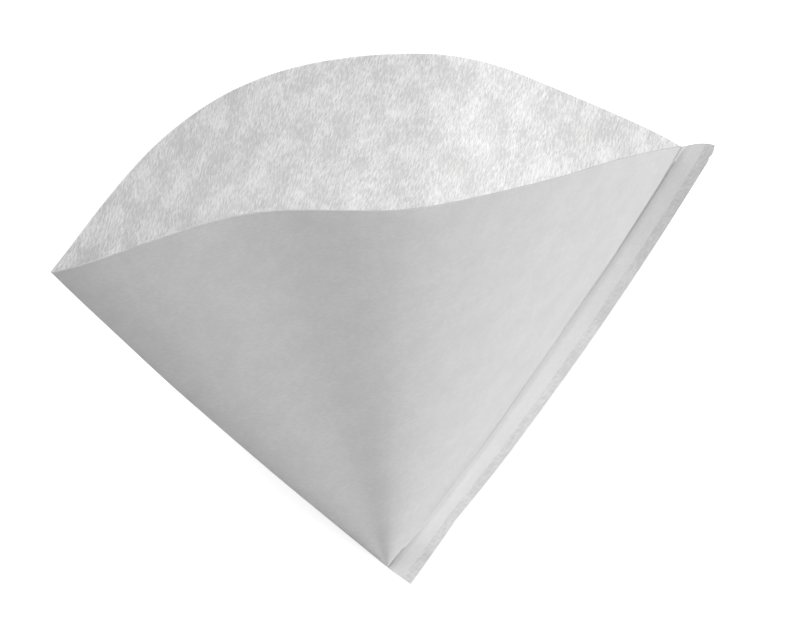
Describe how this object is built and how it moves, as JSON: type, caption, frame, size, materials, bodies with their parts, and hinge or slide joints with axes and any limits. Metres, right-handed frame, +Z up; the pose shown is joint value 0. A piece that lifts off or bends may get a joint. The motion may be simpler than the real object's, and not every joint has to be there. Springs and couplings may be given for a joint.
{
  "type": "paper fryer filter",
  "caption": "Cone-shaped paper filter for straining frying oil: a folded half disc of thin non-woven sheet, closed by a crimped side seam, lying open on its back wall.",
  "frame": {"origin": "on the surface it lies on, under the middle of its box", "axes": "+X towards the seam side, +Y along the cone's axis towards the open mouth, +Z up"},
  "size_m": [0.3164, 0.2541, 0.1551],
  "materials": {
    "filter_paper": "matt fibrous non-woven filter paper, undyed, off-white"
  },
  "bodies": {
    "root": {"filter_cone": "filter_paper"}
  },
  "joints": []
}
